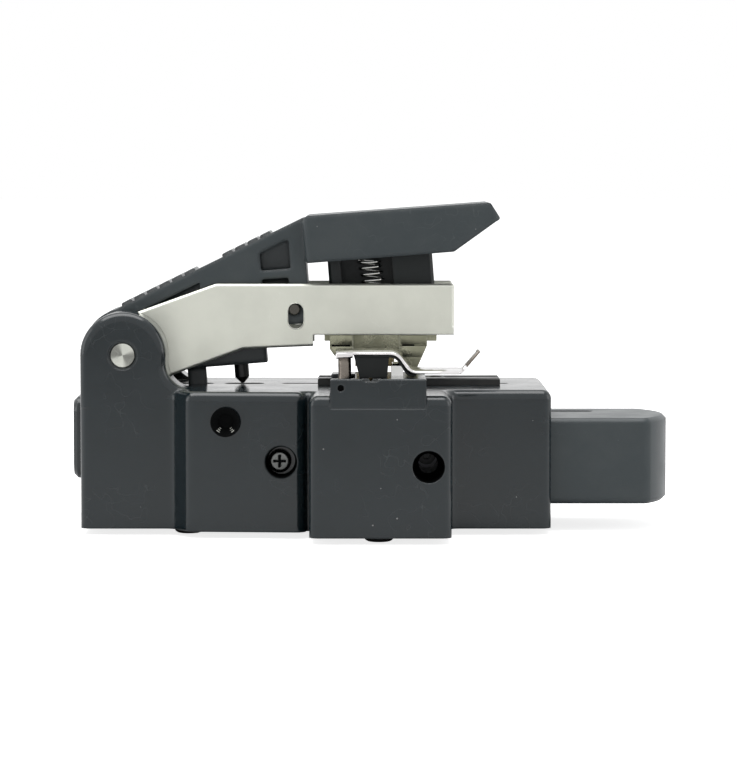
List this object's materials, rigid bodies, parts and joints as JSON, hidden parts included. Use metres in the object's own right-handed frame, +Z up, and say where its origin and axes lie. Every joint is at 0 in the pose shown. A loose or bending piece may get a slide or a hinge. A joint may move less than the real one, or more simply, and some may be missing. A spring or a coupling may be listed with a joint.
{
  "type": "fibre cleaver",
  "caption": "Bench-top optical fibre cleaver: dark housing with a sliding blade carriage, hinged press lever, fibre clamp and side fibre holder with a flip lid.",
  "frame": {"origin": "centre of the footprint, on the bench plane that the rubber feet rest on", "axes": "+X from the hinge end towards the slider's finger end, +Y from the fibre holder's side towards the plain flank, +Z up"},
  "size_m": [0.1218, 0.0584, 0.0669],
  "materials": {
    "body": "satin dark blue-grey anodised",
    "bottom_plate": "satin",
    "rubber": "matte",
    "pad_rubber": "matte",
    "black_screw": "black oxide",
    "bright_steel": "turned",
    "rail_steel": "ground",
    "spring_steel": "drawn wire",
    "charcoal": "satin charcoal",
    "carriage": "satin",
    "blade": "lapped hard metal",
    "magnet": "nickel plated",
    "chrome_lid": "polished",
    "arm": "fine blasted satin",
    "clamp_metal": "cast, nickel finish",
    "brass_clamp": "machined"
  },
  "bodies": {
    "base": {"base_housing": "body", "bottom_cover": "bottom_plate", "cover_screws": "black_screw", "rubber_feet": "rubber", "rear_cover": "body", "rear_cover_screws": "black_screw", "hinge_pin": "bright_steel", "grub_screw": "black_screw", "side_screw": "bright_steel", "guide_rail": "rail_steel", "rail_screws": "black_screw", "latch_guide": "carriage", "latch_spring": "spring_steel", "slider_spring": "spring_steel", "lower_clamp_rails": "rail_steel", "lower_clamp_pads": "pad_rubber", "adapter_block": "body", "lid_magnet": "magnet", "lid_pin": "bright_steel"},
    "slider": {"rail_runner": "rail_steel", "slider_block": "charcoal", "blade_carriage": "carriage", "carriage_screws": "black_screw", "height_screw": "black_screw", "blade_holder": "carriage", "blade_screw": "bright_steel"},
    "blade": {"blade_disc": "blade"},
    "latch": {"latch_plunger": "bright_steel"},
    "lid": {"adapter_lid": "chrome_lid", "lid_pad": "pad_rubber"},
    "arm": {"arm_channel": "arm", "clamp_screws": "black_screw", "clamp_flange": "clamp_metal", "clamp_bracket": "clamp_metal", "clamp_springs": "spring_steel", "return_springs": "spring_steel"},
    "clamp": {"upper_clamp": "brass_clamp", "upper_clamp_pads": "pad_rubber"},
    "lever": {"press_lever": "charcoal", "striker": "charcoal", "striker_screws": "black_screw", "striker_pin": "bright_steel", "limit_pin": "bright_steel", "plunger_housing": "charcoal", "anvil": "brass_clamp", "anvil_tip": "brass_clamp"}
  },
  "joints": [
    {"name": "arm_hinge", "type": "hinge", "parent": "base", "child": "arm", "pos_m": [-0.05025, 0.0087, 0.0363], "axis": [0, -1, 0], "range_deg": [0, 75]},
    {"name": "lever_press", "type": "hinge", "parent": "arm", "child": "lever", "pos_m": [-0.05025, 0.0087, 0.0363], "axis": [0, 1, 0], "range_deg": [0, 4.5], "stiffness_Nm_per_rad": 1.2, "springref_deg": -3.44, "deforming": ["return_springs"]},
    {"name": "slider_slide", "type": "slide", "parent": "base", "child": "slider", "axis": [-1, 0, 0], "range_m": [0, 0.022], "stiffness_N_per_m": 60, "springref_m": -0.02, "deforming": ["slider_spring"]},
    {"name": "blade_index", "type": "hinge", "parent": "slider", "child": "blade", "pos_m": [0.0131, 0.0087, 0.0229], "axis": [0, 1, 0], "continuous": true},
    {"name": "lid_hinge", "type": "hinge", "parent": "base", "child": "lid", "pos_m": [-0.0062, -0.0204, 0.0309], "axis": [0, -1, 0], "range_deg": [0, 90]},
    {"name": "clamp_float", "type": "slide", "parent": "arm", "child": "clamp", "axis": [0, 0, 1], "range_m": [0, 0.0008], "stiffness_N_per_m": 400, "springref_m": -0.002, "deforming": ["clamp_springs"]},
    {"name": "latch_press", "type": "slide", "parent": "base", "child": "latch", "axis": [0, 0, -1], "range_m": [0, 0.00185], "deforming": ["latch_spring"]}
  ],
  "couplings": [
    {"joint": "latch_press", "follows": "lever_press", "m_per_rad": 0.0229}
  ]
}
